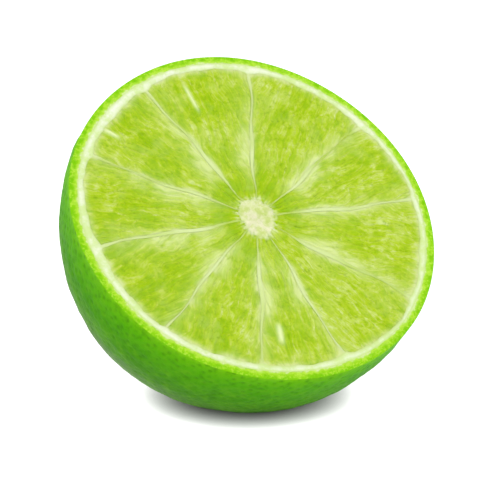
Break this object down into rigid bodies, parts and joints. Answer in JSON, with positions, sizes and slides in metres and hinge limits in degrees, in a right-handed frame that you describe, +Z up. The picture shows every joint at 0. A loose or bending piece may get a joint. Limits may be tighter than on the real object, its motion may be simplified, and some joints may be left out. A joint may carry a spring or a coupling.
{
  "type": "half lime",
  "caption": "Half of a fresh lime, cut across its middle: green peel with a nipple, thin white pith, pale core and juicy segments. It stands on a small flat spot.",
  "frame": {"origin": "middle of the small flat spot that the half lime stands on", "axes": "+Z up, the cut face looks forward along -Y and 47.5 degrees upward, the blossom end is towards +Y, +X is to the right of someone facing the cut face"},
  "size_m": [0.0522, 0.0465, 0.0438],
  "materials": {
    "peel": "waxy green skin with oil glands",
    "pith": "matt, spongy, greenish white",
    "pulp": "wet, translucent yellow-green juice sacs"
  },
  "bodies": {
    "root": {"half_lime": "peel"}
  },
  "joints": []
}
